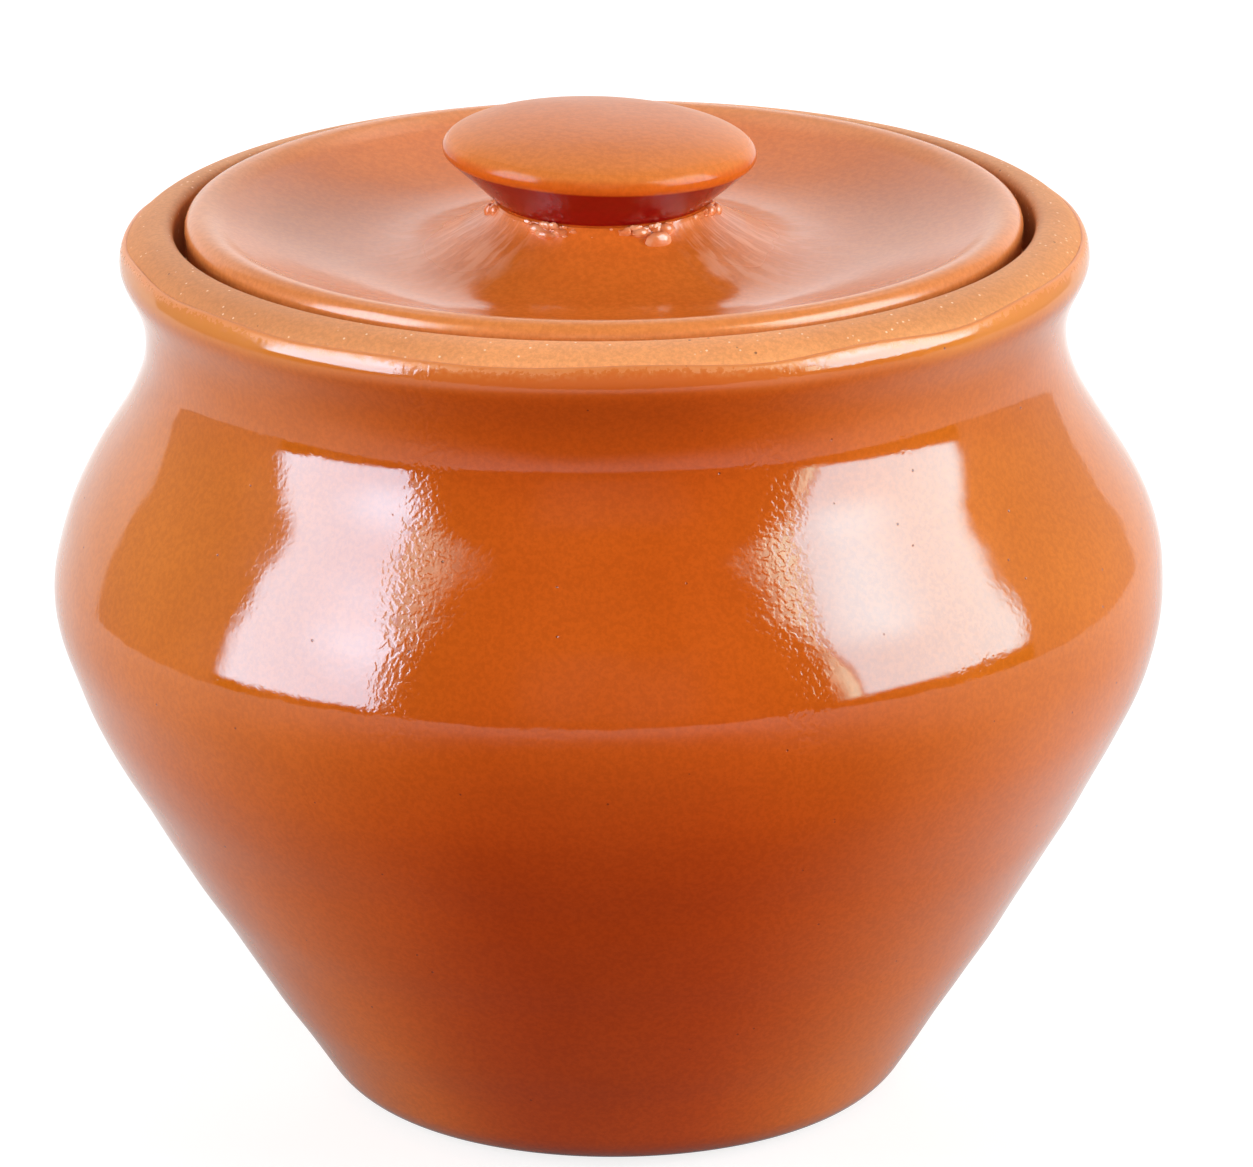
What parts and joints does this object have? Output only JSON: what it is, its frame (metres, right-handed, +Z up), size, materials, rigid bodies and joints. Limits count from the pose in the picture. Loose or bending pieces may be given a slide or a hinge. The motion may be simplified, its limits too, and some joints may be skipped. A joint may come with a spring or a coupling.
{
  "type": "lidded clay cooking pot",
  "caption": "Small wheel-thrown pot of glazed red clay with a flared rim and a sunk lid that lifts off by its mushroom knob.",
  "frame": {"origin": "centre of the standing ring under the foot, on the surface that the pot stands on", "axes": "+Z up along the pot's axis of turning; X and Y are alike, because the pot and lid are round"},
  "size_m": [0.136, 0.136, 0.1248],
  "materials": {
    "bare_clay": "matte, sandy, fired red clay without glaze",
    "pot_glaze": "clear gloss glaze over red clay, with faint orange-peel ripple and pits",
    "lid_glaze": "red clay under a thin satin glaze, with fine grain"
  },
  "bodies": {
    "pot": {"pot_body": "bare_clay", "outer_glaze": "pot_glaze", "inner_glaze": "pot_glaze"},
    "lid": {"lid_dish": "lid_glaze", "lid_knob": "lid_glaze"}
  },
  "joints": [
    {"name": "lid_lift", "type": "slide", "parent": "pot", "child": "lid", "axis": [0, 0, 1], "range_m": [0, 0.12]}
  ]
}
